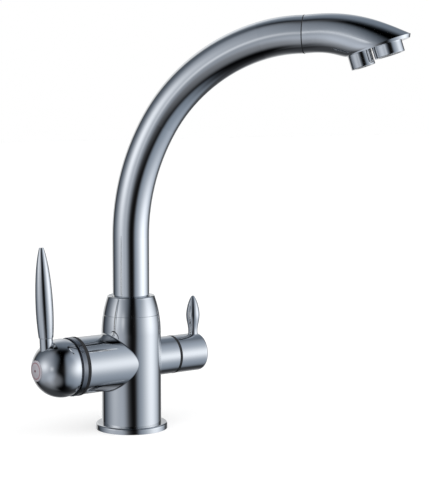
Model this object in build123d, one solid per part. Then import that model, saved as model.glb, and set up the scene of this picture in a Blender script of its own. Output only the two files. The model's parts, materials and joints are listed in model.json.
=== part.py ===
from build123d import *
import math
import os

# Three way filtered water tap: a single lever hot and cold mixer on the left arm, a quarter
# turn valve for filtered water on the right arm, and one swivel spout that carries the two
# waters apart to two outlets in its head.
# Millimetres. Origin: centre of the underside, on the deck. +X runs along the arms towards
# the filter valve, the user stands at -Y, +Z is up.

# ---------------------------------------------------------------- driving dimensions
# fits
RUN_FIT = 0.05           # radial gap of a turning shaft in its bore
SEAT_FIT = 0.05          # gap of pieces that are screwed or pressed into one another
SWING_GAP = 0.35         # gap between curved faces that swing past each other
FACE_GAP = 0.05          # gap between flat faces that slide on each other

# column and base
COLUMN_D = 45.4
ARM_HEIGHT = 52.8        # height of the arms' axis above the deck
SHOULDER_Z = 74.0        # where the column starts to draw in
SHOULDER_R = 85.0        # radius of the shoulder's arc
SEAM_Z = 88.0            # joint between the body and the swivel collar
COLLAR_TOP_Z = 102.4
COLLAR_EDGE_R = 1.4      # rounded top edge of the collar
COLLAR_LIP_DROP = 0.9    # the collar's top dips towards the tube
SEAM_CHAMFER = 0.25
BASE_RING_PROUD = 4.7     # how far the base ring stands out from the column
BASE_RING_H = 4.5
BASE_RING_EDGE_R = 1.5
FOOT_H = 2.5             # turned foot of the body that stands in the base ring
FOOT_STEP = 2.4
BASE_SEAL_W = 2.6
BASE_SEAL_H = 1.7

# tapped holes in the underside
INLET_PITCH_R = 10.5
INLET_TAP_R = 4.5        # M10 x 1 hose thread, at its core
INLET_TAP_DEPTH = 10.0
INLET_CHAMFER = 0.6
WATERWAY_R = 3.0
WATERWAY_WALL = 1.2      # metal left between waterways and bores
STUD_TAP_R = 3.4         # M8 fixing stud, at its core
STUD_TAP_DEPTH = 16.0
INLET_ANGLES = {"hot": 135.0, "cold": 225.0, "filter": 45.0}
STUD_ANGLE = 315.0

# mixer arm
ARM_STEP = 1.25         # how much smaller the mixer arm's radius is than the column's
ARM_FILLET = 1.2
ARM_END_X = -50.8
BALL_D = 43.6
BALL_X = -62.3           # centre of the ball handle and pivot of the lever
BALL_RIM_X = -55.0       # open edge of the ball, hidden in the trim ring
BALL_WALL = 2.45
LEVER_TRAVEL_DEG = 22.0
HUB_CONE_DEG = 56.0      # the ball is solid inside this angle of its outer pole
HUB_INNER_R = 9.8
TRIM_RING_W = 5.0
TRIM_RING_PROUD = 0.55
TRIM_RING_EDGE_R = 0.5
TRIM_SPIGOT_L = 4.3
TRIM_SPIGOT_WALL = 0.9
INNER_DOME_WALL = 1.0
INNER_DOME_END_DEG = 100.0
NUT_L = 5.4
NUT_R = 18.1
NUT_NOTCHES = 6
NUT_NOTCH_W = 3.0
NUT_NOTCH_DEPTH = 1.6
NUT_NOTCH_IN = 2.0       # from the middle of the nut's face to the notch
NUT_CLEARANCE = 1.2      # between the ball's swung-in rim and the nut

# mixer cartridge, all distances inwards from the lever's pivot
CARTRIDGE_R = 12.6
CARTRIDGE_WALL = 1.6
CARTRIDGE_TOP = 4.3
CARTRIDGE_LIP = 2.0
CARTRIDGE_FLANGE_R = 14.6
CARTRIDGE_FLANGE_H = 2.0
CARTRIDGE_BASE = 32.0
PORT_SEAL_SQUEEZE = 0.4
PORT_R = 3.0
PORT_SPREAD = 5.4        # hot and cold ports each side of the axis
PORT_DROP = 3.4
PORT_RISE = 6.0
SEAL_RIM = 1.3
CARRIER_NECK_R = 8.8
CARRIER_FLANGE_H = 2.0
CARRIER_END = 3.2        # how far the carrier reaches outwards past the pivot
STEM_W = 8.0
STEM_SLOT_GAP = 0.2
STEM_SLOT_H = 13.2
PIN_R = 1.5
PIN_L = 16.0
STEM_OUT = 15.9
STEM_ARM_R = 2.2
STEM_TIP_R = 2.6
STEM_ARM_L = 9.5
TIP_SOCKET_GAP = 0.3
SLIDER_H = 4.5
DISC_R = 8.2
DISC_H = 2.8
FIXED_DISC_H = 2.75
DISC_RECESS_RIM = 2.6    # sealing face left round the moving disc's recess
DISC_RECESS_RISE = 1.0

# ball handle and its lever
BUTTON_R = 7.7
BUTTON_H = 2.0
BUTTON_CROWN = 0.9
SCREW_R = 2.0
SCREW_HEAD_R = 3.5
SCREW_HEAD_H = 2.6
SCREW_L = 7.5
SCREW_END_GAP = 0.5
SCREW_KEY_AF = 2.5
KEY_DEPTH = 0.6          # depth of a key socket, as a share of its screw head
LEVER_LEAN_DEG = 2.7
LEVER_FOOT_X = -12.0     # from the ball's centre, where the lever's axis leaves the ball
LEVER_NECK_R = 4.95
LEVER_SEAM_RISE = 23.7   # seam between neck and blade above the ball's centre
LEVER_L = 66.8
LEVER_GROOVE = 0.35
# share of the blade's length, radius there
LEVER_SHAPE = ((0.0, 5.5), (0.13, 6.2), (0.28, 6.55), (0.46, 6.4), (0.62, 5.8), (0.8, 4.5),
               (0.93, 2.9), (1.0, 1.7))
LEVER_STUD_R = 3.0
LEVER_STUD_L = 9.0
LEVER_BOSS_L = 10.0
LEVER_BOSS_WALL = 2.5

# filter valve arm
VALVE_ARM_D = 29.2
VALVE_SEAM_X = 37.45
VALVE_SEAM_GAP = 1.3
KNOB_END_X = 63.1
KNOB_EDGE_R = 2.6
KNOB_WALL = 1.8
KNOB_SOLID_X = 50.0
FILTER_LEVER_X = 57.8
FILTER_LEVER_L = 29.8
# share of the lever's length, radius there
FILTER_LEVER_SHAPE = ((0.0, 3.8), (0.15, 3.85), (0.45, 5.3), (0.72, 4.4), (0.9, 2.6), (1.0, 1.2))
FILTER_STUD_R = 2.5
FILTER_STUD_L = 8.0
FILTER_STUD_SINK = 3.0   # how far the stud reaches up into the lever
FILTER_LEVER_FOOT = 1.2  # how far the lever's foot wraps down round the knob
GRUB_R = 2.0
GRUB_L = 6.0
GRUB_X = 54.0
VALVE_SEAT_X = 18.0
VALVE_BARREL_R = 9.0
VALVE_BORE_GAP = 0.3
VALVE_THREAD_R = 10.3
VALVE_THREAD_X = 31.4
VALVE_HEX_AF = 21.0
VALVE_HEX_H = 5.0
VALVE_WASHER_H = 0.5
VALVE_WASHER_R = 12.2
VALVE_NECK_R = 7.0
VALVE_NECK_L = 4.0
VALVE_DISC_R = 7.4
VALVE_DISC_H = 2.6
VALVE_SEAL_H = 2.6
VALVE_SEAL_LAP = 0.4     # how far the headwork's rim reaches over the seat seal
VALVE_DISC_RIM = 1.4     # sealing rim of the discs, and wall of the spindle's drum
HALF_PORT_WEB = 0.6      # half the web between a disc's two openings
DRUM_FLOOR = 1.0
VALVE_PORT_R = 3.2
VALVE_OUT_R = 2.0
VALVE_OUT_RISE = 8.4
SPINDLE_R = 4.0
SPINDLE_DRUM_H = 3.0
SPINDLE_END_X = 58.0
SPINDLE_FLAT = 0.5       # depth of the flat under the grub screw
WINDOW_R = 2.4

# swivel
SWIVEL_FLOOR_Z = 66.0
SHANK_R = 12.6
SHANK_BORE_R = 8.5
SHANK_BOTTOM_Z = 71.0
SHANK_FLANGE_R = 16.3
SHANK_FLANGE_H = 2.6
SHANK_TOP_L = 11.0
NECK_R = 18.3
NECK_BORE_R = 16.5
GLIDE_H = 1.0
LEDGE_Z = 89.5
SEAL_D = 2.0
SEAL_SQUEEZE = 0.85      # depth of a seal groove, as a share of the seal's section
GROOVE_GAP = 0.2
SEAL_ZS = (75.0, 83.0)
SPIGOT_R = 2.94
SPIGOT_BORE_R = 1.8
SPIGOT_TOP_Z = 86.0
SPIGOT_THREAD_R = 4.5
SPIGOT_THREAD_L = 6.0
SPIGOT_HEX_AF = 10.0
SPIGOT_HEX_H = 2.2
SPIGOT_SEAL_Z = 80.0
SPIGOT_SEAL_D = 1.0

# spout
TUBE_D = 28.0
TUBE_WALL = 1.2
SPOUT_TURN = -50.0       # the spout's rest direction, from +X
BEND_START_Z = 146.9
BEND_RADII = (171.6, 131.8, 116.0)   # the swan neck's three arcs, from the column on
BEND_TURNS_DEG = (30.1, 44.2, 15.7)
FILTER_TUBE_R = 4.0
FILTER_TUBE_BORE_R = 3.0
FILTER_TUBE_BOTTOM_Z = 69.5
FILTER_BEND_R = 12.0
CONNECTOR_L = 18.0
CONNECTOR_WALL = 1.6
CONNECTOR_SEAL_D = 1.6
HEAD_SEAL_S = 5.0        # from the joint to the connector's seal

# outlet head, measured from the joint with the tube
HEAD_SEAM_GAP = 0.3
HEAD_WALL = 2.4
FACE_NECK = (31.7, -16.9)     # neck end of the outlet face, out and up from the joint's centre
FACE_TIP = (76.6, -2.9)       # tip end of the outlet face
FACE_W = 33.4
RIM_NECK = (31.4, -16.6)      # blunt rim round the face, highest at the tip
RIM_TIP = (77.0, -0.1)
RIM_W = 34.0
FACE_PLATE = 7.0
# lower point, upper point and width of each section between the joint and the face
HEAD_SECTIONS = (
    ((13.3, -13.5), (16.8, 14.9), 28.8),
    ((22.3, -14.8), (38.0, 13.1), 30.6),
    ((27.9, -16.2), (57.3, 7.9), 33.0),
)
AERATOR_R = 11.1
AERATOR_OUT = 8.0
AERATOR_THREAD_R = 9.8
AERATOR_THREAD_L = 5.0
AERATOR_WALL = 1.5
NOZZLE_R = 8.9
NOZZLE_OUT = 10.3
NOZZLE_THREAD_R = 6.9
NOZZLE_THREAD_L = 4.6
NOZZLE_WALL = 1.5
OUTLET_GAP = 0.7         # between the two outlets
NOZZLE_EDGE = 0.2        # from the neck end of the face to the filter nozzle
OUTLET_LIP_R = 0.6
OUTLET_WASHER_H = 0.9
AERATOR_BARS = 6
NOZZLE_BARS = 3
GRID_BAR = 0.7
INSERT_RIM = 1.0
INSERT_RECESS = 1.0

# ---------------------------------------------------------------- values worked out from them
COLUMN_R = COLUMN_D / 2
FOOT_R = COLUMN_R - FOOT_STEP
BASE_RING_R = COLUMN_R + BASE_RING_PROUD
ARM_R = COLUMN_R - ARM_STEP
BALL_R = BALL_D / 2
TUBE_R = TUBE_D / 2
TUBE_BORE_R = TUBE_R - TUBE_WALL
VALVE_ARM_R = VALVE_ARM_D / 2
PIVOT = (BALL_X, 0, ARM_HEIGHT)
RIM_OFFSET = BALL_RIM_X - BALL_X
RIM_DEG = math.degrees(math.acos(RIM_OFFSET / BALL_R))
BALL_INNER_R = BALL_R - BALL_WALL
SWING_R = BALL_R + SWING_GAP
DOME_R = BALL_INNER_R - SWING_GAP
# the ball's rim swings in this far; what stands behind it starts deeper
NUT_OUT = SWING_R * math.cos(math.radians(RIM_DEG - LEVER_TRAVEL_DEG)) + NUT_CLEARANCE
NUT_IN = NUT_OUT + NUT_L
FLANGE_IN = NUT_IN + CARTRIDGE_FLANGE_H
STEM_THROW = STEM_ARM_L * math.radians(LEVER_TRAVEL_DEG)
CARTRIDGE_BORE_R = CARTRIDGE_R - CARTRIDGE_WALL
CARRIER_FLANGE_TOP = CARTRIDGE_TOP + CARTRIDGE_LIP + FACE_GAP
SLIDER_TOP = CARRIER_FLANGE_TOP + CARRIER_FLANGE_H + FACE_GAP
MOVING_DISC_TOP = SLIDER_TOP + SLIDER_H
FIXED_DISC_TOP = MOVING_DISC_TOP + DISC_H + FACE_GAP
PLUG_TOP = FIXED_DISC_TOP + FIXED_DISC_H
CARTRIDGE_SEAT = CARTRIDGE_BASE + PORT_SEAL_SQUEEZE
VALVE_STUB_X = VALVE_SEAM_X - VALVE_SEAM_GAP / 2
KNOB_START_X = VALVE_SEAM_X + VALVE_SEAM_GAP / 2
FLANGE_BOTTOM_Z = LEDGE_Z + GLIDE_H + FACE_GAP
FLANGE_TOP_Z = FLANGE_BOTTOM_Z + SHANK_FLANGE_H
NECK_TOP_Z = FLANGE_TOP_Z + FACE_GAP + GLIDE_H
WATER_TURN_Z = ARM_HEIGHT - PORT_DROP
KNOB_TOP_Z = ARM_HEIGHT + VALVE_ARM_R
SEAL_GROOVE_R = SHANK_R - SEAL_D * SEAL_SQUEEZE
SPIGOT_GROOVE_R = SPIGOT_R - SPIGOT_SEAL_D * SEAL_SQUEEZE
CONNECTOR_GROOVE_R = TUBE_BORE_R - SEAT_FIT - CONNECTOR_SEAL_D * SEAL_SQUEEZE


# ---------------------------------------------------------------- helpers
def shoulder_radius(z):
    """Radius of the drawn-in shoulder at a height."""
    rise = z - SHOULDER_Z
    return COLUMN_R - (SHOULDER_R - math.sqrt(SHOULDER_R**2 - rise**2))


def turned(*points):
    """A turning about the vertical axis from (radius, height) points."""
    face = make_face(Plane.XZ * Polyline(*points, close=True))
    return revolve(face, Axis.Z)


def turned_arm(*points):
    """A turning about the arms' axis from (x, radius) points."""
    face = make_face(Plane.XZ * Polyline(*points, close=True))
    return Pos(0, 0, ARM_HEIGHT) * revolve(face, Axis.X)


def ring(r_in, r_out, z_low, z_high):
    return turned((r_in, z_low), (r_out, z_low), (r_out, z_high), (r_in, z_high))


def arm_ring(r_in, r_out, x_low, x_high):
    return turned_arm((x_low, r_in), (x_high, r_in), (x_high, r_out), (x_low, r_out))


def rod(radius, start, end):
    """A round bar between two points."""
    start, end = Vector(*start), Vector(*end)
    run = end - start
    return Plane(origin=start, z_dir=run) * Cylinder(
        radius, run.length, align=(Align.CENTER, Align.CENTER, Align.MIN))


def arm_rod(radius, x_low, x_high, y=0.0, rise=0.0):
    height = ARM_HEIGHT + rise
    return rod(radius, (x_low, y, height), (x_high, y, height))


def hexagon(across_flats, start, end):
    start, end = Vector(*start), Vector(*end)
    run = end - start
    face = Plane(origin=start, z_dir=run) * RegularPolygon(across_flats / 2, 6, major_radius=False)
    return extrude(face, run.length, dir=run)


def o_ring(r_in, r_out, z, height):
    """A squeezed rubber ring about the vertical axis, its outer edges bevelled."""
    bevel = (r_out - r_in) / 4
    low, high = z - height / 2, z + height / 2
    return turned((r_in, low), (r_out - bevel, low), (r_out, low + bevel),
                  (r_out, high - bevel), (r_out - bevel, high), (r_in, high))


def from_pivot(distance):
    """x of a point on the arm axis, a distance inwards from the lever's pivot."""
    return BALL_X + distance


def on_circle(radius, degrees, z=0.0):
    angle = math.radians(degrees)
    return (radius * math.cos(angle), radius * math.sin(angle), z)


# ---------------------------------------------------------------- body
def column():
    """Outside of the column, with its foot, shoulder and threaded neck."""
    seam_r = shoulder_radius(SEAM_Z)
    mid_z = (SHOULDER_Z + SEAM_Z) / 2
    top_z = SEAM_Z - SEAM_CHAMFER
    outline = Polyline((0, 0), (FOOT_R, 0), (FOOT_R, FOOT_H),
                       (COLUMN_R, FOOT_H), (COLUMN_R, SHOULDER_Z))
    outline += ThreePointArc((COLUMN_R, SHOULDER_Z), (shoulder_radius(mid_z), mid_z),
                             (shoulder_radius(top_z), top_z))
    outline += Polyline((shoulder_radius(top_z), top_z), (seam_r - SEAM_CHAMFER, SEAM_Z),
                        (NECK_R, SEAM_Z), (NECK_R, NECK_TOP_Z), (0, NECK_TOP_Z), (0, 0))
    return revolve(make_face(Plane.XZ * outline), Axis.Z)


def inlet_hole(angle, top_z):
    """A tapped hose inlet and the waterway that rises from it."""
    low = on_circle(INLET_PITCH_R, angle)
    tap = rod(INLET_TAP_R, low, (low[0], low[1], INLET_TAP_DEPTH))
    waterway = rod(WATERWAY_R, low, (low[0], low[1], top_z))
    mouth = Pos(*low) * Cone(INLET_TAP_R + INLET_CHAMFER, INLET_TAP_R, INLET_CHAMFER,
                             align=(Align.CENTER, Align.CENTER, Align.MIN))
    return tap + waterway + mouth


def mixer_waterways():
    """Hot and cold up to the cartridge seat, mixed water from it up to the swivel."""
    seat_x = from_pivot(CARTRIDGE_SEAT)
    cuts = []
    for name, side in (("hot", 1), ("cold", -1)):
        cuts.append(inlet_hole(INLET_ANGLES[name], WATER_TURN_Z))
        x, y, _ = on_circle(INLET_PITCH_R, INLET_ANGLES[name], 0)
        cuts.append(rod(WATERWAY_R, (x, y, WATER_TURN_Z),
                        (seat_x, side * PORT_SPREAD, WATER_TURN_Z)))
        cuts.append(Pos(x, y, WATER_TURN_Z) * Sphere(WATERWAY_R))
    rise_x = -(SPIGOT_THREAD_R + WATERWAY_R + WATERWAY_WALL)
    cuts.append(arm_rod(PORT_R, seat_x, rise_x, rise=PORT_RISE))
    cuts.append(rod(PORT_R, (rise_x, 0, ARM_HEIGHT + PORT_RISE), (rise_x, 0, SWIVEL_FLOOR_Z)))
    cuts.append(Pos(rise_x, 0, ARM_HEIGHT + PORT_RISE) * Sphere(PORT_R))
    return cuts


def filter_waterways():
    """Filtered water up to the valve seat, and from the valve to the spigot on the axis."""
    x, y, _ = on_circle(INLET_PITCH_R, INLET_ANGLES["filter"], 0)
    port_x = VALVE_SEAT_X - VALVE_PORT_R - WATERWAY_WALL
    out_z = ARM_HEIGHT + VALVE_OUT_RISE
    return [
        inlet_hole(INLET_ANGLES["filter"], ARM_HEIGHT),
        Pos(x, y, ARM_HEIGHT) * Sphere(WATERWAY_R),
        rod(VALVE_PORT_R, (x, y, ARM_HEIGHT), (port_x, 0, ARM_HEIGHT)),
        Pos(port_x, 0, ARM_HEIGHT) * Sphere(VALVE_PORT_R),
        arm_rod(VALVE_PORT_R, port_x, VALVE_SEAT_X),
        arm_rod(VALVE_OUT_R, 0, VALVE_SEAT_X, rise=VALVE_OUT_RISE),
        rod(VALVE_OUT_R, (0, 0, out_z), (0, 0, SWIVEL_FLOOR_Z)),
        Pos(0, 0, out_z) * Sphere(VALVE_OUT_R),
    ]


def body_casting():
    body = column()
    mixer_arm = arm_rod(ARM_R, ARM_END_X, 0)
    valve_arm = arm_rod(VALVE_ARM_R, 0, VALVE_STUB_X)
    body = body + mixer_arm + valve_arm
    joints = [edge for edge in body.edges()
              if edge.geom_type not in (GeomType.LINE, GeomType.CIRCLE)]
    body = fillet(joints, ARM_FILLET)

    cuts = mixer_waterways() + filter_waterways()
    # fixing stud
    low = on_circle(INLET_PITCH_R, STUD_ANGLE)
    cuts.append(rod(STUD_TAP_R, low, (low[0], low[1], STUD_TAP_DEPTH)))
    # swivel bore, its ledge and the spigot's tapped socket
    cuts.append(ring(0, SHANK_R + RUN_FIT, SWIVEL_FLOOR_Z, NECK_TOP_Z))
    cuts.append(ring(0, NECK_BORE_R, LEDGE_Z, NECK_TOP_Z))
    cuts.append(ring(0, SPIGOT_THREAD_R + SEAT_FIT, SWIVEL_FLOOR_Z - SPIGOT_THREAD_L,
                     SWIVEL_FLOOR_Z))
    # cartridge bore, its shoulder, the nut's thread and the trim ring's thread
    for depth, radius in (
            (CARTRIDGE_SEAT, CARTRIDGE_R + SEAT_FIT),
            (FLANGE_IN, CARTRIDGE_FLANGE_R + SEAT_FIT),
            (NUT_IN, NUT_R + SEAT_FIT),
            (NUT_OUT, trim_spigot_radius() + SEAT_FIT)):
        cuts.append(arm_rod(radius, ARM_END_X, from_pivot(depth)))
    # valve bore and its thread
    cuts.append(arm_rod(VALVE_BARREL_R + VALVE_BORE_GAP, VALVE_SEAT_X, VALVE_STUB_X))
    cuts.append(arm_rod(VALVE_THREAD_R + SEAT_FIT, VALVE_THREAD_X, VALVE_STUB_X))
    return body - cuts


def base_ring():
    """Chromed ring under the column, which stands in its step."""
    body = ring(FOOT_R + SEAT_FIT, BASE_RING_R, 0, BASE_RING_H)
    body -= ring(0, COLUMN_R + SEAT_FIT, FOOT_H, BASE_RING_H)
    edge = body.edges().filter_by(GeomType.CIRCLE).group_by(Axis.Z)[-1].sort_by(SortBy.RADIUS)[-1]
    body = fillet(edge, BASE_RING_EDGE_R)
    seal_in, seal_out = base_seal_radii()
    return body - ring(seal_in, seal_out, 0, BASE_SEAL_H)


def base_seal_radii():
    middle = (FOOT_R + BASE_RING_R) / 2
    return middle - BASE_SEAL_W / 2, middle + BASE_SEAL_W / 2


def base_seal():
    seal_in, seal_out = base_seal_radii()
    return ring(seal_in + SEAT_FIT, seal_out - SEAT_FIT, 0, BASE_SEAL_H - SEAT_FIT)


def swivel_collar():
    """Upper part of the shoulder: a threaded ring that holds the spout down."""
    low_z = SEAM_Z + SEAM_CHAMFER
    round_z = COLLAR_TOP_Z - COLLAR_EDGE_R
    outer_r = shoulder_radius(round_z)
    lip_r = TUBE_R + SWING_GAP
    thread_r = NECK_R + SEAT_FIT
    mid_z = (low_z + round_z) / 2
    edge_r = outer_r - COLLAR_EDGE_R
    outline = Polyline((thread_r, SEAM_Z), (shoulder_radius(SEAM_Z) - SEAM_CHAMFER, SEAM_Z),
                       (shoulder_radius(low_z), low_z))
    outline += ThreePointArc((shoulder_radius(low_z), low_z), (shoulder_radius(mid_z), mid_z),
                             (outer_r, round_z))
    outline += ThreePointArc((outer_r, round_z),
                             (edge_r + COLLAR_EDGE_R * math.cos(math.pi / 4),
                              round_z + COLLAR_EDGE_R * math.sin(math.pi / 4)),
                             (edge_r, COLLAR_TOP_Z))
    outline += Polyline((edge_r, COLLAR_TOP_Z), (lip_r, COLLAR_TOP_Z - COLLAR_LIP_DROP),
                        (lip_r, NECK_TOP_Z + FACE_GAP), (thread_r, NECK_TOP_Z + FACE_GAP),
                        (thread_r, SEAM_Z))
    return revolve(make_face(Plane.XZ * outline), Axis.Z)


def lower_glide_ring():
    return ring(SHANK_R + RUN_FIT, NECK_BORE_R - SEAT_FIT, LEDGE_Z, LEDGE_Z + GLIDE_H)


def upper_glide_ring():
    return ring(TUBE_R + SWING_GAP, NECK_BORE_R - SEAT_FIT, FLANGE_TOP_Z + FACE_GAP, NECK_TOP_Z)


def filter_spigot():
    """Fixed pipe on the swivel's axis, round which the spout's filter tube turns."""
    bottom = SWIVEL_FLOOR_Z - SPIGOT_THREAD_L + SEAT_FIT
    body = ring(SPIGOT_BORE_R, SPIGOT_THREAD_R, bottom, SWIVEL_FLOOR_Z)
    nut = hexagon(SPIGOT_HEX_AF, (0, 0, SWIVEL_FLOOR_Z), (0, 0, SWIVEL_FLOOR_Z + SPIGOT_HEX_H))
    body += nut - ring(0, SPIGOT_BORE_R, SWIVEL_FLOOR_Z, SPIGOT_TOP_Z)
    body += ring(SPIGOT_BORE_R, SPIGOT_R, SWIVEL_FLOOR_Z, SPIGOT_TOP_Z)
    half = SPIGOT_SEAL_D / 2
    return body - ring(SPIGOT_GROOVE_R, SPIGOT_R, SPIGOT_SEAL_Z - half, SPIGOT_SEAL_Z + half)


def spigot_seal():
    return o_ring(SPIGOT_GROOVE_R, FILTER_TUBE_BORE_R - RUN_FIT / 2, SPIGOT_SEAL_Z,
                  SPIGOT_SEAL_D - 2 * SEAT_FIT)


# ---------------------------------------------------------------- mixer arm, fixed pieces
def trim_spigot_radius():
    """Outside of the thread on the trim ring: round the ball's swing, plus a wall."""
    depth = ARM_END_X - BALL_X
    return math.sqrt(SWING_R**2 - depth**2) + TRIM_SPIGOT_WALL


def trim_ring():
    """Bright band round the foot of the ball; inside, it clears the ball's swing."""
    thread_r = trim_spigot_radius()
    inner_r = thread_r - TRIM_SPIGOT_WALL
    outer_r = ARM_R + TRIM_RING_PROUD
    mouth_x = ARM_END_X - TRIM_RING_W

    def swing(x):
        return (x, math.sqrt(SWING_R**2 - (x - BALL_X)**2))

    inside = ThreePointArc(swing(mouth_x), swing((mouth_x + ARM_END_X) / 2), swing(ARM_END_X))
    outline = inside + Polyline(
        inside @ 1, (ARM_END_X + TRIM_SPIGOT_L, inner_r), (ARM_END_X + TRIM_SPIGOT_L, thread_r),
        (ARM_END_X, thread_r), (ARM_END_X, outer_r), (mouth_x + TRIM_RING_EDGE_R, outer_r),
        (mouth_x, outer_r - TRIM_RING_EDGE_R / 2), inside @ 0)
    return Pos(0, 0, ARM_HEIGHT) * revolve(make_face(Plane.XZ * outline), Axis.X)


def cartridge_nut():
    """Retaining nut with spanner notches in its outer face."""
    face_x = from_pivot(NUT_OUT)
    nut = arm_ring(CARTRIDGE_R + SEAT_FIT, NUT_R, face_x, from_pivot(NUT_IN))
    notch_r = (NUT_R + CARTRIDGE_R) / 2 + NUT_NOTCH_IN
    for index in range(NUT_NOTCHES):
        notch = Pos(face_x, 0, notch_r) * Box(
            NUT_NOTCH_DEPTH * 2, NUT_NOTCH_W, NUT_R - CARTRIDGE_R,
            align=(Align.CENTER, Align.CENTER, Align.MIN))
        nut -= Pos(0, 0, ARM_HEIGHT) * Rot(index * 360 / NUT_NOTCHES, 0, 0) * notch
    return nut


def inner_dome():
    """Chromed cap under the ball, seen when the lever is pulled out."""
    outer = DOME_R
    inner = DOME_R - INNER_DOME_WALL
    skirt_r = CARTRIDGE_R + SEAT_FIT + INNER_DOME_WALL
    end = math.radians(INNER_DOME_END_DEG)
    skirt_x = math.sqrt(outer**2 - skirt_r**2)
    inner_skirt_x = math.sqrt(inner**2 - (skirt_r - INNER_DOME_WALL)**2)
    start = math.atan2(skirt_r, skirt_x)
    inner_start = math.atan2(skirt_r - INNER_DOME_WALL, inner_skirt_x)

    def point(radius, angle):
        return (BALL_X + radius * math.cos(angle), radius * math.sin(angle))

    outline = ThreePointArc(point(outer, start), point(outer, (start + end) / 2), point(outer, end))
    outline += Line(point(outer, end), point(inner, end))
    outline += ThreePointArc(point(inner, end), point(inner, (inner_start + end) / 2),
                             point(inner, inner_start))
    outline += Polyline(point(inner, inner_start), (from_pivot(NUT_OUT), skirt_r - INNER_DOME_WALL),
                        (from_pivot(NUT_OUT), skirt_r), point(outer, start))
    return Pos(0, 0, ARM_HEIGHT) * revolve(make_face(Plane.XZ * outline), Axis.X)


def port_places():
    """Side and rise of the hot, cold and mixed ports."""
    return ((PORT_SPREAD, -PORT_DROP), (-PORT_SPREAD, -PORT_DROP), (0, PORT_RISE))


def cartridge_housing():
    body = arm_ring(CARTRIDGE_BORE_R, CARTRIDGE_R, from_pivot(CARTRIDGE_TOP),
                    from_pivot(CARTRIDGE_BASE))
    body += arm_ring(CARRIER_NECK_R + RUN_FIT, CARTRIDGE_R, from_pivot(CARTRIDGE_TOP),
                     from_pivot(CARTRIDGE_TOP + CARTRIDGE_LIP))
    body += arm_ring(CARTRIDGE_R - CARTRIDGE_WALL / 2, CARTRIDGE_FLANGE_R, from_pivot(NUT_IN),
                     from_pivot(FLANGE_IN))
    return body


def cartridge_plug():
    """Base of the cartridge, with a recess round each port for its seal."""
    body = arm_rod(CARTRIDGE_BORE_R - SEAT_FIT, from_pivot(PLUG_TOP), from_pivot(CARTRIDGE_BASE))
    for y, rise in port_places():
        body -= arm_rod(PORT_R, from_pivot(PLUG_TOP), from_pivot(CARTRIDGE_BASE), y, rise)
        body -= arm_rod(PORT_R + SEAL_RIM, from_pivot(CARTRIDGE_BASE) - SEAL_RIM,
                        from_pivot(CARTRIDGE_BASE), y, rise)
    return body


def port_seals():
    seals = []
    for y, rise in port_places():
        x_low = from_pivot(CARTRIDGE_BASE) - SEAL_RIM
        x_high = from_pivot(CARTRIDGE_SEAT)
        seals.append(arm_rod(PORT_R + SEAL_RIM - SEAT_FIT, x_low, x_high, y, rise)
                     - arm_rod(PORT_R, x_low, x_high, y, rise))
    return Compound(seals)


def mixer_fixed_disc():
    body = arm_rod(CARTRIDGE_BORE_R - SEAT_FIT, from_pivot(FIXED_DISC_TOP), from_pivot(PLUG_TOP))
    for y, rise in port_places():
        body -= arm_rod(PORT_R, from_pivot(FIXED_DISC_TOP), from_pivot(PLUG_TOP), y, rise)
    return body


# ---------------------------------------------------------------- mixer, moving pieces
def stem_carrier():
    """Turns in the cartridge's neck and carries the lever stem's pivot pin."""
    body = arm_rod(CARRIER_NECK_R, from_pivot(-CARRIER_END), from_pivot(SLIDER_TOP - FACE_GAP))
    body += arm_rod(CARTRIDGE_BORE_R - SWING_GAP, from_pivot(CARRIER_FLANGE_TOP),
                    from_pivot(SLIDER_TOP - FACE_GAP))
    slot = Box(2 * CARTRIDGE_BASE, STEM_W + 2 * STEM_SLOT_GAP, STEM_SLOT_H)
    body -= Pos(*PIVOT) * slot
    return body - pin_bar(PIN_R + RUN_FIT / 2, PIN_L)


def pin_bar(radius, length):
    x, _, z = PIVOT
    return rod(radius, (x, -length / 2, z), (x, length / 2, z))


def pivot_pin():
    return pin_bar(PIN_R, PIN_L)


def lever_stem():
    """Square stem on the pin; its round arm and ball tip push the disc slider."""
    square_in = CARRIER_NECK_R / 3
    length = STEM_OUT + square_in
    body = Pos(from_pivot((square_in - STEM_OUT) / 2), 0, ARM_HEIGHT) * Box(length, STEM_W, STEM_W)
    body += arm_rod(STEM_ARM_R, from_pivot(0), from_pivot(STEM_ARM_L))
    body += Pos(from_pivot(STEM_ARM_L), 0, ARM_HEIGHT) * Sphere(STEM_TIP_R)
    body -= pin_bar(PIN_R + RUN_FIT, PIN_L)
    return body - arm_rod(SCREW_R, from_pivot(-STEM_OUT), from_pivot(-STEM_OUT + SCREW_L))


def disc_slider():
    """Carries the moving disc; the stem's tip pushes it up and down."""
    drop = -STEM_THROW / 2
    body = arm_rod(DISC_R, from_pivot(SLIDER_TOP), from_pivot(MOVING_DISC_TOP), rise=drop)
    socket_end = STEM_ARM_L + STEM_TIP_R + TIP_SOCKET_GAP
    return body - arm_rod(STEM_TIP_R + TIP_SOCKET_GAP, from_pivot(SLIDER_TOP),
                          from_pivot(socket_end))


def mixer_moving_disc():
    """Ceramic disc with the mixing recess in its polished face."""
    drop = -STEM_THROW / 2
    end = MOVING_DISC_TOP + DISC_H
    body = arm_rod(DISC_R, from_pivot(MOVING_DISC_TOP), from_pivot(end), rise=drop)
    recess = arm_rod(DISC_R - DISC_RECESS_RIM, from_pivot(end - DISC_H / 2), from_pivot(end),
                     rise=drop + DISC_RECESS_RISE)
    return body - recess


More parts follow.
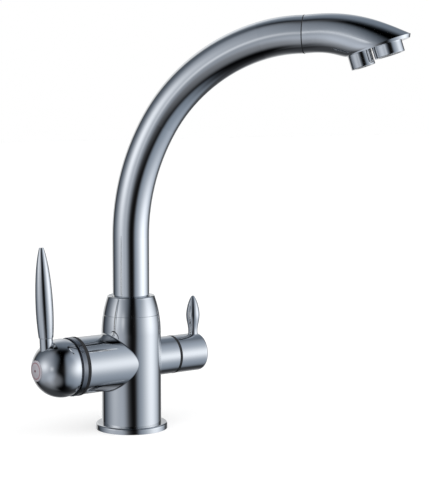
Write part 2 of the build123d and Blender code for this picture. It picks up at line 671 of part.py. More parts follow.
def handle_ball():
    """Hollow ball, solid towards its outer pole, where the stem and lever are fixed."""
    rim = math.radians(RIM_DEG)
    cone = math.radians(180 - HUB_CONE_DEG)

    def point(radius, angle):
        return (BALL_X + radius * math.cos(angle), radius * math.sin(angle))

    rim_in = math.acos(RIM_OFFSET / BALL_INNER_R)
    outline = ThreePointArc(point(BALL_R, rim), point(BALL_R, (rim + math.pi) / 2),
                            point(BALL_R, math.pi))
    outline += Line(point(BALL_R, math.pi), point(HUB_INNER_R, math.pi))
    outline += ThreePointArc(point(HUB_INNER_R, math.pi), point(HUB_INNER_R, (cone + math.pi) / 2),
                             point(HUB_INNER_R, cone))
    outline += Line(point(HUB_INNER_R, cone), point(BALL_INNER_R, cone))
    outline += ThreePointArc(point(BALL_INNER_R, cone), point(BALL_INNER_R, (rim_in + cone) / 2),
                             point(BALL_INNER_R, rim_in))
    outline += Line(point(BALL_INNER_R, rim_in), point(BALL_R, rim))
    body = Pos(0, 0, ARM_HEIGHT) * revolve(make_face(Plane.XZ * outline), Axis.X)
    # boss round the lever's stud, kept inside the ball
    boss = lever_frame() * Cylinder(LEVER_STUD_R + LEVER_BOSS_WALL, LEVER_BOSS_L,
                                    align=(Align.CENTER, Align.CENTER, Align.MAX))
    body += boss & (Pos(*PIVOT) * Sphere(BALL_R - BALL_WALL / 2))
    body -= lever_frame() * Cylinder(LEVER_STUD_R + SEAT_FIT, 2 * LEVER_STUD_L + SEAT_FIT)
    # square socket, screw hole, screw head and button recesses
    socket_l = STEM_OUT + SEAT_FIT
    body -= Pos(from_pivot(-socket_l / 2), 0, ARM_HEIGHT) * Box(
        socket_l, STEM_W + 2 * SEAT_FIT, STEM_W + 2 * SEAT_FIT)
    body -= arm_rod(SCREW_R + 2 * SEAT_FIT, from_pivot(-BALL_R), from_pivot(0))
    body -= arm_rod(SCREW_HEAD_R + 2 * SEAT_FIT, from_pivot(-BALL_R),
                    from_pivot(-BALL_R + BUTTON_H + SCREW_HEAD_H))
    body -= arm_rod(BUTTON_R + SEAT_FIT, from_pivot(-BALL_R), from_pivot(-BALL_R + BUTTON_H))
    return body


def handle_screw():
    """Socket screw that draws the ball onto the stem."""
    head_end = -BALL_R + BUTTON_H
    body = arm_rod(SCREW_HEAD_R, from_pivot(head_end), from_pivot(head_end + SCREW_HEAD_H))
    body += arm_rod(SCREW_R - SEAT_FIT, from_pivot(head_end),
                    from_pivot(-STEM_OUT + SCREW_L - SCREW_END_GAP))
    key = hexagon(SCREW_KEY_AF, (from_pivot(head_end), 0, ARM_HEIGHT),
                  (from_pivot(head_end + SCREW_HEAD_H * KEY_DEPTH), 0, ARM_HEIGHT))
    return body - key


def index_button():
    """Plain crowned disc in the ball's pole."""
    base_x = from_pivot(-BALL_R + BUTTON_H)
    edge_x = base_x - (BUTTON_H - BUTTON_CROWN)
    top_x = base_x - BUTTON_H
    mid_r = BUTTON_R / 2
    crown_r = (BUTTON_R**2 + BUTTON_CROWN**2) / (2 * BUTTON_CROWN)
    sag = crown_r - math.sqrt(crown_r**2 - mid_r**2)
    outline = Polyline((base_x, 0), (base_x, BUTTON_R), (edge_x, BUTTON_R))
    outline += ThreePointArc((edge_x, BUTTON_R), (top_x + sag, mid_r), (top_x, 0))
    outline += Line((top_x, 0), (base_x, 0))
    return Pos(0, 0, ARM_HEIGHT) * revolve(make_face(Plane.XZ * outline), Axis.X)


def lever_frame():
    """Plane at the lever's foot: on the ball, normal along the lever."""
    height = math.sqrt(BALL_R**2 - LEVER_FOOT_X**2)
    lean = math.radians(LEVER_LEAN_DEG)
    return Plane(origin=(BALL_X + LEVER_FOOT_X, 0, ARM_HEIGHT + height),
                 x_dir=(math.cos(lean), 0, math.sin(lean)),
                 z_dir=(-math.sin(lean), 0, math.cos(lean)))


def lever_neck_length():
    height = math.sqrt(BALL_R**2 - LEVER_FOOT_X**2)
    return (LEVER_SEAM_RISE - height) / math.cos(math.radians(LEVER_LEAN_DEG))


def lever_neck():
    """Ferrule between ball and blade, its foot hollowed to sit on the ball."""
    neck_l = lever_neck_length()
    depth = LEVER_NECK_R * 1.2
    body = lever_frame() * Pos(0, 0, -depth) * Cylinder(
        LEVER_NECK_R, depth + neck_l, align=(Align.CENTER, Align.CENTER, Align.MIN))
    body -= Pos(*PIVOT) * Sphere(BALL_R)
    stud = lever_frame() * Cylinder(LEVER_STUD_R, LEVER_STUD_L,
                                    align=(Align.CENTER, Align.CENTER, Align.MAX))
    core = lever_frame() * Cylinder(LEVER_STUD_R, neck_l / 2,
                                    align=(Align.CENTER, Align.CENTER, Align.MIN))
    return body + stud + core


def lever_blade():
    """Long spindle-shaped blade, flat at its tip."""
    start = lever_neck_length()
    points = [(radius, start + share * LEVER_L) for share, radius in LEVER_SHAPE]
    points[0] = (points[0][0], start + LEVER_GROOVE)
    end = points[-1]
    outline = Polyline((0, start), (points[0][0] - LEVER_GROOVE, start), points[0])
    outline += Spline(*points)
    outline += Polyline(end, (0, end[1]), (0, start))
    return lever_frame() * revolve(make_face(Plane.XZ * outline), Axis.Z)


# ---------------------------------------------------------------- filter valve
def valve_body():
    """Screw-in headwork of the quarter turn valve."""
    start = VALVE_SEAT_X + VALVE_SEAL_H - VALVE_SEAL_LAP
    hex_start = VALVE_STUB_X + VALVE_WASHER_H
    hex_end = hex_start + VALVE_HEX_H
    neck_end = hex_end + VALVE_NECK_L
    body = arm_rod(VALVE_BARREL_R, start, VALVE_THREAD_X)
    body += arm_rod(VALVE_THREAD_R, VALVE_THREAD_X, hex_start)
    body += hexagon(VALVE_HEX_AF, (hex_start, 0, ARM_HEIGHT), (hex_end, 0, ARM_HEIGHT))
    body += arm_rod(VALVE_NECK_R, hex_end, neck_end)
    drum_end = valve_disc_x()[2] + SPINDLE_DRUM_H + FACE_GAP
    body -= arm_rod(VALVE_DISC_R + SEAT_FIT, start, drum_end)
    body -= arm_rod(SPINDLE_R + RUN_FIT, drum_end, neck_end)
    window_x = drum_end - WINDOW_R * 0.8
    for side in (1, -1):
        body -= rod(WINDOW_R, (window_x, 0, ARM_HEIGHT + side * VALVE_DISC_R * 0.8),
                    (window_x, 0, ARM_HEIGHT + side * VALVE_BARREL_R * 1.2))
    return body


def valve_disc_x():
    """Faces of the fixed and moving discs, from the seat outwards."""
    fixed = VALVE_SEAT_X + VALVE_SEAL_H
    moving = fixed + VALVE_DISC_H + FACE_GAP
    return fixed, moving, moving + VALVE_DISC_H


def valve_seat_seal():
    return arm_ring(VALVE_PORT_R, VALVE_OUT_RISE - VALVE_OUT_R - SEAT_FIT, VALVE_SEAT_X,
                    VALVE_SEAT_X + VALVE_SEAL_H)


def valve_washer():
    return arm_ring(VALVE_THREAD_R + SEAT_FIT, VALVE_WASHER_R, VALVE_STUB_X,
                    VALVE_STUB_X + VALVE_WASHER_H)


def half_port(x_low, x_high):
    """The two quarter openings of a ceramic disc."""
    opening = arm_rod(VALVE_DISC_R - VALVE_DISC_RIM, x_low, x_high)
    opening &= Pos((x_low + x_high) / 2, VALVE_DISC_R / 2 + HALF_PORT_WEB, ARM_HEIGHT) * Box(
        x_high - x_low, VALVE_DISC_R, VALVE_DISC_R)
    return opening + Pos(0, 0, 2 * ARM_HEIGHT) * Rot(180, 0, 0) * opening


def valve_fixed_disc():
    fixed = valve_disc_x()[0]
    end = fixed + VALVE_DISC_H
    return arm_rod(VALVE_DISC_R, fixed, end) - half_port(fixed, end)


def valve_moving_disc():
    _, moving, end = valve_disc_x()
    body = arm_rod(VALVE_DISC_R - SEAT_FIT, moving, end) - half_port(moving, end)
    return Pos(0, 0, ARM_HEIGHT) * Rot(90, 0, 0) * Pos(0, 0, -ARM_HEIGHT) * body


def valve_spindle():
    """Splined spindle with the drum that turns the moving disc."""
    drum_start = valve_disc_x()[2]
    drum_end = drum_start + SPINDLE_DRUM_H
    body = arm_rod(VALVE_DISC_R - SEAT_FIT, drum_start, drum_end)
    body -= arm_rod(VALVE_DISC_R - VALVE_DISC_RIM, drum_start, drum_end) - arm_rod(
        SPINDLE_R, drum_start, drum_end)
    body += arm_rod(VALVE_DISC_R - SEAT_FIT, drum_end - DRUM_FLOOR, drum_end)
    body += arm_rod(SPINDLE_R, drum_start, SPINDLE_END_X)
    flat_l = SPINDLE_END_X - GRUB_X + 2 * GRUB_R
    flat = Pos(SPINDLE_END_X - flat_l / 2, 0, ARM_HEIGHT - SPINDLE_R) * Box(
        flat_l, 2 * SPINDLE_R, 2 * SPINDLE_FLAT)
    return body - flat


def filter_knob():
    """Drum-shaped knob: hollow over the headwork, solid round the spindle."""
    body = arm_rod(VALVE_ARM_R, KNOB_START_X, KNOB_END_X)
    end_edge = body.edges().filter_by(GeomType.CIRCLE).group_by(Axis.X)[-1]
    body = fillet(end_edge, KNOB_EDGE_R)
    body -= arm_rod(VALVE_ARM_R - KNOB_WALL, KNOB_START_X, KNOB_SOLID_X)
    body -= arm_rod(SPINDLE_R + SEAT_FIT, KNOB_SOLID_X, SPINDLE_END_X + SWING_GAP)
    stud_end_z = KNOB_TOP_Z - FILTER_STUD_L - SWING_GAP
    body -= rod(FILTER_STUD_R + SEAT_FIT, (FILTER_LEVER_X, 0, stud_end_z),
                (FILTER_LEVER_X, 0, KNOB_TOP_Z))
    return body - rod(GRUB_R + SEAT_FIT, (GRUB_X, 0, ARM_HEIGHT - VALVE_ARM_R),
                      (GRUB_X, 0, ARM_HEIGHT))


def knob_grub_screw():
    """Set screw under the knob, on the spindle's flat."""
    top = ARM_HEIGHT - SPINDLE_R + SPINDLE_FLAT
    low = top - GRUB_L
    body = rod(GRUB_R, (GRUB_X, 0, low), (GRUB_X, 0, top))
    key = hexagon(GRUB_R, (GRUB_X, 0, low), (GRUB_X, 0, low + GRUB_R))
    return body - key


def filter_lever():
    """Short bud-shaped lever, screwed into the top of the knob."""
    foot = -FILTER_LEVER_FOOT
    end = FILTER_LEVER_L
    points = [(radius, share * end) for share, radius in FILTER_LEVER_SHAPE]
    tip_r = points[-1][0]
    tip = (tip_r, end - tip_r / 3)
    outline = Polyline((0, foot), (points[0][0], foot), points[0])
    outline += Spline(*points[:-1], tip)
    outline += Polyline(tip, (tip_r / 2, end), (0, end), (0, foot))
    blade = revolve(make_face(Plane.XZ * outline), Axis.Z)
    blade = Pos(FILTER_LEVER_X, 0, KNOB_TOP_Z) * blade
    blade -= arm_rod(VALVE_ARM_R, KNOB_START_X, KNOB_END_X)
    return blade + rod(FILTER_STUD_R, (FILTER_LEVER_X, 0, KNOB_TOP_Z - FILTER_STUD_L),
                       (FILTER_LEVER_X, 0, KNOB_TOP_Z + FILTER_STUD_SINK))


# ---------------------------------------------------------------- spout, drawn along +X
def spout_path(low_z):
    """Centre line of the tube: straight up, then three tangent arcs."""
    start = (0, low_z)
    line = Line(start, (0, BEND_START_Z))
    edges = [line]
    point, heading = Vector(0, BEND_START_Z), 90.0
    for radius, turn in zip(BEND_RADII, BEND_TURNS_DEG):
        direction = Vector(math.cos(math.radians(heading)), math.sin(math.radians(heading)))
        arc = JernArc(start=point, tangent=direction, radius=radius, arc_size=-turn)
        edges.append(arc)
        point = arc @ 1
        heading -= turn
    return edges, point


JOINT_POINT = spout_path(0)[1]
JOINT_S, JOINT_Z = JOINT_POINT.X, JOINT_POINT.Y


def swept(radius, edges):
    path = Plane.XZ * Wire(edges)
    section = Plane(origin=path @ 0, z_dir=path % 0) * Circle(radius)
    return sweep(section, path=path)


def turn_to_rest(shape):
    return Rot(0, 0, SPOUT_TURN) * shape


def spout_tube():
    edges, _ = spout_path(FLANGE_TOP_Z)
    return turn_to_rest(swept(TUBE_R, edges) - swept(TUBE_BORE_R, edges))


def spout_shank():
    """Swivel sleeve brazed into the foot of the tube, with two seal grooves."""
    top = FLANGE_TOP_Z + SHANK_TOP_L
    body = ring(SHANK_BORE_R, SHANK_R, SHANK_BOTTOM_Z, top)
    body += ring(SHANK_BORE_R, SHANK_FLANGE_R, FLANGE_BOTTOM_Z, FLANGE_TOP_Z)
    half = SEAL_D / 2 + GROOVE_GAP
    for z in SEAL_ZS:
        body -= ring(SEAL_GROOVE_R, SHANK_R, z - half, z + half)
    return turn_to_rest(body)


def shank_seals():
    return turn_to_rest(Compound([o_ring(SEAL_GROOVE_R, SHANK_R + RUN_FIT / 2, z, SEAL_D)
                                  for z in SEAL_ZS]))


def face_frame():
    """Out and up directions of the outlet face, in the spout's plane."""
    run = Vector(FACE_TIP[0] - FACE_NECK[0], FACE_TIP[1] - FACE_NECK[1])
    along = run.normalized()
    return along, Vector(along.Y, -along.X)


def face_point(distance, depth=0.0):
    """Point at a distance from the face's neck end, and a depth inside the head."""
    along, out = face_frame()
    return Vector(JOINT_S + FACE_NECK[0] + along.X * distance - out.X * depth,
                  0, JOINT_Z + FACE_NECK[1] + along.Y * distance - out.Y * depth)


NOZZLE_AT = NOZZLE_EDGE + NOZZLE_R
AERATOR_AT = NOZZLE_AT + NOZZLE_R + OUTLET_GAP + AERATOR_R


def outlet_rod(radius, distance, depth, out):
    """Round bar square to the outlet face, from inside the head to outside it."""
    return rod(radius, tuple(face_point(distance, depth)), tuple(face_point(distance, -out)))


def outlet_ring(r_in, r_out, distance, depth, out):
    return outlet_rod(r_out, distance, depth, out) - outlet_rod(r_in, distance, depth, out)


def filter_tube():
    """Inner hose of the filtered water, from the spigot to the filter nozzle."""
    edges, point = spout_path(FILTER_TUBE_BOTTOM_Z)
    along, out = face_frame()
    turn = math.degrees(math.atan2(-out.Y, out.X))
    drop = FILTER_BEND_R * (1 - math.cos(math.radians(turn)))
    entry = face_point(NOZZLE_AT)
    depth = (JOINT_Z - drop - entry.Z) / -out.Y
    end_s = entry.X - out.X * depth
    start_s = end_s - FILTER_BEND_R * math.sin(math.radians(turn))
    edges.append(Line(point, (start_s, JOINT_Z)))
    edges.append(JernArc(start=(start_s, JOINT_Z), tangent=(1, 0), radius=FILTER_BEND_R,
                         arc_size=-turn))
    last = face_point(NOZZLE_AT, NOZZLE_THREAD_L + OUTLET_WASHER_H)
    edges.append(Line(edges[-1] @ 1, (last.X, last.Z)))
    return turn_to_rest(swept(FILTER_TUBE_R, edges) - swept(FILTER_TUBE_BORE_R, edges))


def section_face(low, high, width, inset=0.0):
    """Oval section of the head between a lower and an upper point of its side view."""
    low3 = Vector(JOINT_S + low[0], 0, JOINT_Z + low[1])
    high3 = Vector(JOINT_S + high[0], 0, JOINT_Z + high[1])
    up = high3 - low3
    normal = Vector(0, 1, 0).cross(up)
    plane = Plane(origin=(low3 + high3) / 2, x_dir=up, z_dir=normal)
    return plane * Ellipse(up.length / 2 - inset, width / 2 - inset)


def head_form(inset=0.0):
    """The head's outside, or with an inset its hollow: from the joint to the face's rim."""
    sections = [section_face((0, -TUBE_R), (0, TUBE_R), TUBE_D, inset)]
    for low, high, width in HEAD_SECTIONS + ((RIM_NECK, RIM_TIP, RIM_W),):
        sections.append(section_face(low, high, width, inset))
    return loft(sections)


def head_rim():
    """Blunt band between the head's rim and its outlet face."""
    return loft([section_face(RIM_NECK, RIM_TIP, RIM_W),
                 section_face(FACE_NECK, FACE_TIP, FACE_W)], ruled=True)


def outlet_head():
    """Duck-bill head: an oval loft with two threaded outlets in its cut face."""
    body = head_form() + head_rim()
    # hollow, closed by the plate behind the outlet face
    along, out = face_frame()
    reach = 4 * FACE_TIP[0]
    keep = Plane(origin=face_point(0, FACE_PLATE), x_dir=(along.X, 0, along.Y),
                 z_dir=(-out.X, 0, -out.Y)) * Box(
        reach, reach, reach, align=(Align.CENTER, Align.CENTER, Align.MIN))
    body -= head_form(HEAD_WALL) & keep
    # straight socket for the connector, and the hairline seam to the tube
    body -= rod(TUBE_BORE_R, (JOINT_S, 0, JOINT_Z), (JOINT_S + CONNECTOR_L / 2, 0, JOINT_Z))
    body -= rod(2 * TUBE_R, (JOINT_S - HEAD_SEAM_GAP, 0, JOINT_Z),
                (JOINT_S + HEAD_SEAM_GAP, 0, JOINT_Z))
    # outlets
    for thread_r, thread_l, bore_r, distance in (
            (AERATOR_THREAD_R, AERATOR_THREAD_L, AERATOR_THREAD_R - AERATOR_WALL, AERATOR_AT),
            (NOZZLE_THREAD_R, NOZZLE_THREAD_L, FILTER_TUBE_R + SEAT_FIT, NOZZLE_AT)):
        body -= outlet_rod(thread_r + SEAT_FIT, distance, thread_l + OUTLET_WASHER_H, OUTLET_GAP)
        body -= outlet_rod(bore_r, distance, FACE_PLATE + OUTLET_GAP, OUTLET_GAP)
    return turn_to_rest(body)


def joint_ring(r_in, r_out, start, end):
    """Ring round the joint of tube and head, between two distances past the joint."""
    body = rod(r_out, (JOINT_S + start, 0, JOINT_Z), (JOINT_S + end, 0, JOINT_Z))
    return body - rod(r_in, (JOINT_S + start, 0, JOINT_Z), (JOINT_S + end, 0, JOINT_Z))


def connector_bend():
    """Short copy of the tube's last arc, for the half of the connector inside the tube."""
    radius = BEND_RADII[-1]
    turn = math.degrees(CONNECTOR_L / 2 / radius)
    return [JernArc(start=(JOINT_S, JOINT_Z), tangent=(-1, 0), radius=radius, arc_size=turn)]


def head_connector():
    """Sleeve brazed in the end of the tube and pushed into the head, with a seal groove."""
    outer_r = TUBE_BORE_R - SEAT_FIT
    inner_r = outer_r - CONNECTOR_WALL
    body = joint_ring(inner_r, outer_r, 0, CONNECTOR_L / 2 - SEAT_FIT)
    body += swept(outer_r, connector_bend()) - swept(inner_r, connector_bend())
    half = CONNECTOR_SEAL_D / 2 + SEAT_FIT
    body -= joint_ring(CONNECTOR_GROOVE_R, TUBE_R, HEAD_SEAL_S - half, HEAD_SEAL_S + half)
    return turn_to_rest(body)


def head_seal():
    half = CONNECTOR_SEAL_D / 2
    return turn_to_rest(joint_ring(CONNECTOR_GROOVE_R, TUBE_BORE_R - SEAT_FIT / 2,
                                   HEAD_SEAL_S - half, HEAD_SEAL_S + half))


def outlet_cap(radius, wall, thread_r, thread_l, distance, out):
    """Outlet housing: a band that stands out of the face and a thread behind it."""
    body = outlet_rod(radius, distance, 0, out)
    lip = body.edges().filter_by(GeomType.CIRCLE).sort_by(Axis.Z)[0]
    body = fillet(lip, OUTLET_LIP_R)
    body += outlet_rod(thread_r, distance, thread_l, 0)
    body -= outlet_rod(thread_r - wall, distance, thread_l, out)
    return body


def aerator_housing():
    return turn_to_rest(outlet_cap(AERATOR_R, AERATOR_WALL, AERATOR_THREAD_R, AERATOR_THREAD_L,
                                   AERATOR_AT, AERATOR_OUT))


def filter_nozzle():
    return turn_to_rest(outlet_cap(NOZZLE_R, NOZZLE_WALL, NOZZLE_THREAD_R, NOZZLE_THREAD_L,
                                   NOZZLE_AT, NOZZLE_OUT))


def outlet_washer(thread_r, thread_l, wall, distance):
    """Rubber washer between an outlet's thread and the floor of its socket."""
    return turn_to_rest(outlet_ring(thread_r - wall, thread_r, distance,
                                    thread_l + OUTLET_WASHER_H, -thread_l))


def aerator_washer():
    return outlet_washer(AERATOR_THREAD_R, AERATOR_THREAD_L, AERATOR_WALL, AERATOR_AT)


def nozzle_washer():
    return outlet_washer(NOZZLE_THREAD_R, NOZZLE_THREAD_L, NOZZLE_WALL, NOZZLE_AT)


def grid_insert(radius, rim, bars, distance, low, high):
    """Plastic stream insert: a rim with crossed bars, recessed in its housing."""
    body = outlet_ring(radius - rim, radius, distance, low, high)
    along, out = face_frame()
    centre = face_point(distance, (low - high) / 2)
    frame = Plane(origin=centre, x_dir=(along.X, 0, along.Y), z_dir=(out.X, 0, out.Y))
    pitch = 2 * radius / (bars + 1)
    for index in range(bars):
        offset = (index - (bars - 1) / 2) * pitch
        chord = 2 * math.sqrt((radius - rim / 2)**2 - offset**2)
        body += frame * Pos(offset, 0, 0) * Box(GRID_BAR, chord, low + high)
        body += frame * Pos(0, offset, 0) * Box(chord, GRID_BAR, low + high)
    return turn_to_rest(body)


def aerator_insert():
    return grid_insert(AERATOR_THREAD_R - AERATOR_WALL - SEAT_FIT, INSERT_RIM, AERATOR_BARS,
                       AERATOR_AT, 0, AERATOR_OUT - INSERT_RECESS)


def nozzle_insert():
    return grid_insert(NOZZLE_THREAD_R - NOZZLE_WALL - SEAT_FIT, INSERT_RIM, NOZZLE_BARS,
                       NOZZLE_AT, 0, NOZZLE_OUT - INSERT_RECESS)


os.makedirs("parts", exist_ok=True)
PARTS = {
    "body_casting": body_casting,
    "base_ring": base_ring,
    "base_seal": base_seal,
    "swivel_collar": swivel_collar,
    "lower_glide_ring": lower_glide_ring,
    "upper_glide_ring": upper_glide_ring,
    "filter_spigot": filter_spigot,
    "spigot_seal": spigot_seal,
    "trim_ring": trim_ring,
    "cartridge_nut": cartridge_nut,
    "inner_dome": inner_dome,
    "cartridge_housing": cartridge_housing,
    "cartridge_plug": cartridge_plug,
    "port_seals": port_seals,
    "mixer_fixed_disc": mixer_fixed_disc,
    "stem_carrier": stem_carrier,
    "pivot_pin": pivot_pin,
    "lever_stem": lever_stem,
    "disc_slider": disc_slider,
    "mixer_moving_disc": mixer_moving_disc,
    "handle_ball": handle_ball,
    "handle_screw": handle_screw,
    "index_button": index_button,
    "lever_neck": lever_neck,
    "lever_blade": lever_blade,
    "valve_body": valve_body,
    "valve_seat_seal": valve_seat_seal,
    "valve_washer": valve_washer,
    "valve_fixed_disc": valve_fixed_disc,
    "valve_moving_disc": valve_moving_disc,
    "valve_spindle": valve_spindle,
    "filter_knob": filter_knob,
    "knob_grub_screw": knob_grub_screw,
    "filter_lever": filter_lever,
    "spout_tube": spout_tube,
    "spout_shank": spout_shank,
    "shank_seals": shank_seals,
    "filter_tube": filter_tube,
    "head_connector": head_connector,
    "head_seal": head_seal,
    "outlet_head": outlet_head,
    "aerator_housing": aerator_housing,
    "aerator_washer": aerator_washer,
    "aerator_insert": aerator_insert,
    "filter_nozzle": filter_nozzle,
    "nozzle_washer": nozzle_washer,
    "nozzle_insert": nozzle_insert,
}
for node, make in PARTS.items():
    export_step(make(), f"parts/{node}.step")
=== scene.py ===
import json
import math

import bmesh
import bpy
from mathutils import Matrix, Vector


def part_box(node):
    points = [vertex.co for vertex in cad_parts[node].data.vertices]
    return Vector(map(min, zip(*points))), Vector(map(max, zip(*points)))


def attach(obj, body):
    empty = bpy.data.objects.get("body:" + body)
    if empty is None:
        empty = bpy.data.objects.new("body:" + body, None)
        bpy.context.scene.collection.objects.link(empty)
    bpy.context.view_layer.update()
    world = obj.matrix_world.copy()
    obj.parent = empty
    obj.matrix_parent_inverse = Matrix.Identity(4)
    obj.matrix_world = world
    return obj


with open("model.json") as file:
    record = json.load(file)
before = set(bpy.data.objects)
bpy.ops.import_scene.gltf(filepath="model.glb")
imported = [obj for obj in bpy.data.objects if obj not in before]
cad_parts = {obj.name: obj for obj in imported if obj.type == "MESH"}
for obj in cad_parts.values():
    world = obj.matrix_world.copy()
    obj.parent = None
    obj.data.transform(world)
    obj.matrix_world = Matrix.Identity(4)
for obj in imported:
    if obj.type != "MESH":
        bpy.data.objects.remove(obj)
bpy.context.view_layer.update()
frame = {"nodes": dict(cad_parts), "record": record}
scene = bpy.context.scene

# sizes in metres, in the CAD's own frame
ARM_HEIGHT = 0.0528
TRIM_RING_PROUD = 0.00055    # the trim ring stands out from the mixer arm
SPOUT_TURN = -50.0           # degrees; the spout's rest direction, from +X
TUBE_R = 0.0140

# black bands: painted shade in the arms' joints, and the head's gasket
SHADE_BAND_LAP = 0.0010          # painted shade: an arm's black band reaches this far before its joint, standing in for the shade in the joint's groove
ARM_SHADE_BAND_REACH = 0.0018    # and this far after it, on the mixer arm
KNOB_PLAY = 0.0003           # the knob turns past its black band
HEAD_GASKET_W = 0.0008
BAND_PROUD = 0.00015
BAND_SUNK = 0.0002
# painted shade: the knob's black band sinks this deep into the gap
VALVE_SHADE_BAND_DEPTH = 0.0014
BAND_ARC_STEPS = 8
BAND_STEPS = 128

# ---------------------------------------------------------------- camera
CAMERA_PLACE = (-0.6208, -0.9499, 0.2552)
CAMERA_AZIMUTH = -36.38      # degrees; the view looks along +Y at 0
CAMERA_ELEVATION = 5.585     # degrees down
LENS = 112.5                 # mm, on a sensor 36 mm wide
SENSOR_W = 36.0
CLIP_NEAR, CLIP_FAR = 0.05, 50.0

camera = bpy.data.cameras.new("camera")
camera.lens = LENS
camera.sensor_width = SENSOR_W
camera.clip_start, camera.clip_end = CLIP_NEAR, CLIP_FAR
camera_object = bpy.data.objects.new("camera", camera)
camera_object.location = CAMERA_PLACE
camera_object.rotation_euler = (
    math.radians(90 - CAMERA_ELEVATION), 0, math.radians(CAMERA_AZIMUTH))
scene.collection.objects.link(camera_object)
scene.camera = camera_object
scene.view_settings.view_transform = "Standard"


# ---------------------------------------------------------------- node helpers
class Graph:
    """A node tree with short calls for the nodes that the materials use."""

    def __init__(self, tree):
        self.tree = tree
        tree.nodes.clear()

    def add(self, kind, settings=None, **inputs):
        node = self.tree.nodes.new(kind)
        for name, value in (settings or {}).items():
            setattr(node, name, value)
        for name, value in inputs.items():
            self.feed(node.inputs[name.replace("_", " ")], value)
        return node

    def feed(self, socket, value):
        if isinstance(value, bpy.types.NodeSocket):
            self.tree.links.new(value, socket)
        else:
            socket.default_value = value

    def math(self, operation, *values):
        node = self.tree.nodes.new("ShaderNodeMath")
        node.operation = operation
        for socket, value in zip(node.inputs, values):
            self.feed(socket, value)
        return node.outputs[0]

    def spread(self, value, low, high, to_low, to_high, smooth=False):
        """The value, stretched from one range to another and held at its ends."""
        node = self.add("ShaderNodeMapRange", {
            "interpolation_type": "SMOOTHSTEP" if smooth else "LINEAR"})
        for socket, number in zip(node.inputs, (value, low, high, to_low, to_high)):
            self.feed(socket, number)
        return node.outputs[0]

    def noise(self, place, scale, detail=3.0, stretch=None):
        if stretch:
            place = self.add("ShaderNodeMapping", Vector=place, Scale=stretch).outputs[0]
        return self.add("ShaderNodeTexNoise", Vector=place, Scale=scale,
                        Detail=detail).outputs["Fac"]

    def vector(self, operation, first, second):
        node = self.add("ShaderNodeVectorMath", {"operation": operation})
        self.feed(node.inputs[0], first)
        self.feed(node.inputs[1], second)
        return node.outputs[0]

    def colour(self, share, first, second):
        """Colour that is the first at share 0 and the second at share 1."""
        node = self.add("ShaderNodeMix", {"data_type": "RGBA"}, Factor=share)
        for socket, value in zip((node.inputs[6], node.inputs[7]), (first, second)):
            self.feed(socket, (*value, 1) if isinstance(value, tuple) else value)
        return node.outputs[2]

    def blend(self, share, first, second):
        """Shader that is the first at share 0 and the second at share 1."""
        node = self.add("ShaderNodeMixShader", Fac=share)
        self.feed(node.inputs[1], first.outputs[0])
        self.feed(node.inputs[2], second.outputs[0])
        return node

    def bump(self, height, distance, strength=1.0, normal=None):
        node = self.add("ShaderNodeBump", Height=height, Distance=distance, Strength=strength)
        if normal is not None:
            self.feed(node.inputs["Normal"], normal)
        return node.outputs[0]

    def place(self):
        return self.add("ShaderNodeTexCoord").outputs["Object"]


# ---------------------------------------------------------------- studio
# Soft cards and walls round the tap, as polished metal shows them. Azimuth is measured from
# the photographer's place, to the right, and elevation from the horizon; degrees.
# Places, sizes and lights of all cards but left_streak are a scratch program's fit to the
# photo's reflections, rounded to whole degrees and hundredths. left_streak started from such
# a fit and was then changed.
# A card's edge is (how square its outline is, how sharply it ends).
CORE = (2.0, 2.0)
GLOW = (2.0, 4.0)
WALL = (4.0, 4.0)
PANEL = (4.0, 10.0)
WHITE_TINT = (0.98, 1.0, 1.02)
COOL_TINT = (0.93, 1.0, 1.12)
BLUE_TINT = (0.82, 1.0, 1.25)
CARDS = {
    # where (azimuth, elevation), half size (across, up), edge, light, tint
    "left_panel": ((-72, 13), (59, 54), PANEL, 0.11, BLUE_TINT),
    "left_core": ((-66, 9), (20, 17), CORE, 0.55, WHITE_TINT),
    "left_glow": ((-63, -2), (43, 67), GLOW, 0.24, COOL_TINT),
    "left_low": ((-26, -37), (27, 28), GLOW, 0.17, COOL_TINT),
    "left_streak": ((-32, 5), (7, 8), CORE, 0.28, WHITE_TINT),
    "right_panel": ((76, 0), (54, 60), PANEL, 0.25, BLUE_TINT),
    "right_core": ((81, 1), (33, 24), CORE, 0.88, WHITE_TINT),
    "right_glow": ((101, -21), (31, 33), CORE, 0.14, COOL_TINT),
    "back_wall": ((-163, 8), (21, 38), WALL, 0.72, WHITE_TINT),
    "back_wing": ((168, -2), (8, 31), CORE, 0.68, WHITE_TINT),
    "back_high": ((171, 52), (32, 35), GLOW, 0.20, BLUE_TINT),
    "top_strip": ((92, 35), (24, 25), WALL, 0.14, COOL_TINT),
    "low_fill": ((-132, -58), (97, 26), WALL, 0.05, COOL_TINT),
}
PHOTOGRAPHER = math.degrees(math.atan2(CAMERA_PLACE[1], CAMERA_PLACE[0]))
WHITE = (1, 1, 1, 1)
ROOM_LIGHT = 1.0         # even light of the room on matt surfaces

FLOOR_HALF = 6.0
FLOOR_DROP = 0.0002      # the floor lies this far below the tap's underside
FLOOR_PAPER = (0.42, 0.42, 0.42, 1)
FLOOR_GLOW = 0.60        # keeps the lit paper white, so that only the shadow shows

LAMP_SIZE = 1.4
LAMP_AIM = (0, 0, 0.1)
LAMPS = {
    # place, power in watts
    "lamp_right": ((0.9, -0.9, 1.5), 9.0),
    "lamp_left": ((-1.3, -0.5, 1.6), 6.0),
}


